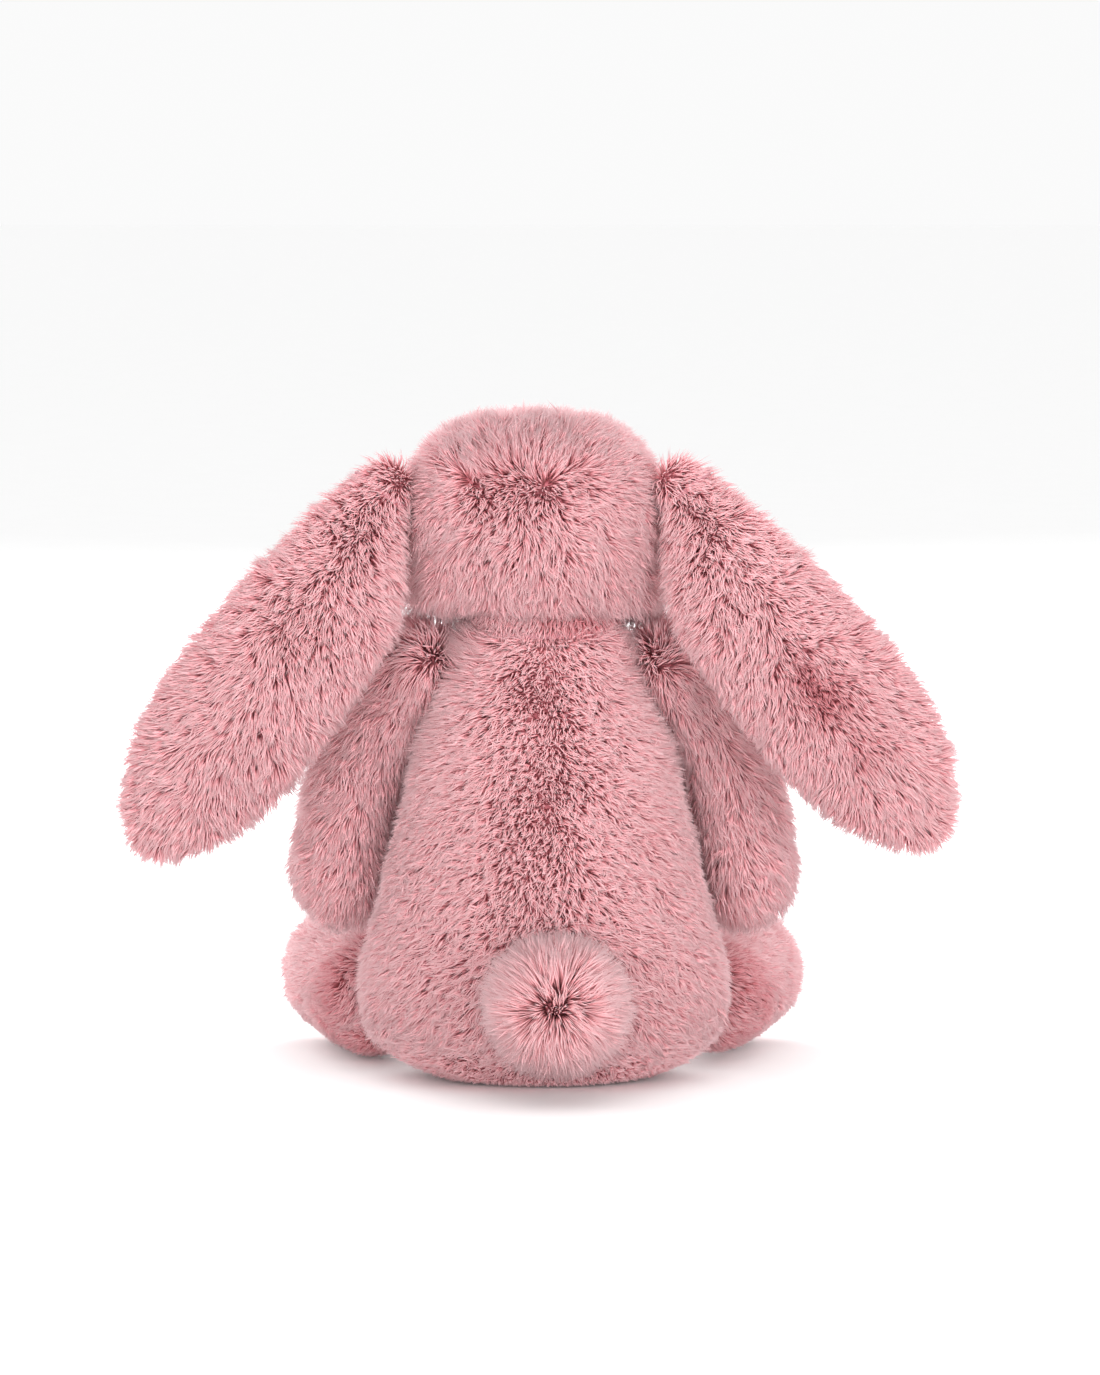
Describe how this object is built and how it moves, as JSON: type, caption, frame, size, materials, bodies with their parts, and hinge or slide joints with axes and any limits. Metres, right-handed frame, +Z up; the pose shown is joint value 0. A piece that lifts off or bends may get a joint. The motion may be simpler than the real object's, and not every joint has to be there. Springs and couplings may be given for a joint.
{
  "type": "plush bunny",
  "caption": "Sitting plush bunny with long hanging ears, pompom tail, bean-weighted seat and feet, and limbs, head and ears that turn at their seams.",
  "frame": {"origin": "centre of the flat seat, on the surface that the bunny sits on", "axes": "+Z up; the bunny faces -Y; its own left side is +X"},
  "size_m": [0.2631, 0.2099, 0.2115],
  "materials": {
    "plush": "long dusty pink plush pile",
    "ear_lining": "short dusty pink plush pile",
    "tail_plush": "longer pale pink pile",
    "stuffing": "white polyester fibre",
    "pouch": "plain woven cotton",
    "pellets": "plain pellets",
    "thread": "twisted sewing thread",
    "nose": "satin stitch thread",
    "eye": "polished bead",
    "washer": "moulded"
  },
  "bodies": {
    "torso": {"torso_back_left": "plush", "torso_back_right": "plush", "torso_belly": "plush", "torso_base": "plush", "neck_thread": "thread", "torso_stuffing": "stuffing", "bean_pouch": "pouch", "bean_pellets": "pellets"},
    "neck": {"neck_stuffing": "stuffing"},
    "head": {"head_side_left": "plush", "head_side_right": "plush", "head_crown": "plush", "head_chin": "plush", "head_stuffing": "stuffing", "muzzle": "plush", "muzzle_stuffing": "stuffing", "nose": "nose", "mouth_stitch": "thread", "eye_left": "eye", "eye_right": "eye", "eye_washer_left": "washer", "eye_washer_right": "washer"},
    "ear_left": {"ear_back_left": "plush", "ear_lining_left": "ear_lining", "ear_wadding_left": "stuffing", "ear_stitch_left": "thread"},
    "arm_left": {"arm_outer_left": "plush", "arm_inner_left": "plush", "arm_stuffing_left": "stuffing"},
    "leg_left": {"leg_top_left": "plush", "leg_under_left": "plush", "foot_sole_left": "plush", "leg_stuffing_left": "stuffing", "foot_beans_left": "pouch"},
    "ear_right": {"ear_back_right": "plush", "ear_lining_right": "ear_lining", "ear_wadding_right": "stuffing", "ear_stitch_right": "thread"},
    "arm_right": {"arm_outer_right": "plush", "arm_inner_right": "plush", "arm_stuffing_right": "stuffing"},
    "leg_right": {"leg_top_right": "plush", "leg_under_right": "plush", "foot_sole_right": "plush", "leg_stuffing_right": "stuffing", "foot_beans_right": "pouch"},
    "tail": {"tail_cover": "tail_plush", "tail_stuffing": "stuffing", "tail_stitch": "thread"}
  },
  "joints": [
    {"name": "neck_turn", "type": "hinge", "parent": "torso", "child": "neck", "pos_m": [0, 0, 0.1455], "axis": [0, 0, 1], "range_deg": [-12, 12]},
    {"name": "head_nod", "type": "hinge", "parent": "neck", "child": "head", "pos_m": [0, 0, 0.1455], "axis": [1, 0, 0], "range_deg": [-8, 15]},
    {"name": "ear_lift_left", "type": "hinge", "parent": "head", "child": "ear_left", "pos_m": [0.0504, 0.006, 0.1905], "axis": [0, -1, 0], "range_deg": [-10, 100]},
    {"name": "ear_lift_right", "type": "hinge", "parent": "head", "child": "ear_right", "pos_m": [-0.0434, 0.006, 0.1905], "axis": [0, 1, 0], "range_deg": [-10, 100]},
    {"name": "arm_swing_left", "type": "hinge", "parent": "torso", "child": "arm_left", "pos_m": [0.041, -0.008, 0.131], "axis": [-1, 0, 0], "range_deg": [0, 90]},
    {"name": "arm_swing_right", "type": "hinge", "parent": "torso", "child": "arm_right", "pos_m": [-0.041, -0.008, 0.131], "axis": [-1, 0, 0], "range_deg": [0, 90]},
    {"name": "leg_raise_left", "type": "hinge", "parent": "torso", "child": "leg_left", "pos_m": [0.055, -0.047, 0.02], "axis": [-1, 0, 0], "range_deg": [0, 60]},
    {"name": "leg_raise_right", "type": "hinge", "parent": "torso", "child": "leg_right", "pos_m": [-0.055, -0.047, 0.02], "axis": [-1, 0, 0], "range_deg": [0, 60]},
    {"name": "tail_wag", "type": "hinge", "parent": "torso", "child": "tail", "pos_m": [-0.004, 0.04531, 0.031], "axis": [1, 0, 0], "range_deg": [-15, 15], "stiffness_Nm_per_rad": 0.02}
  ]
}
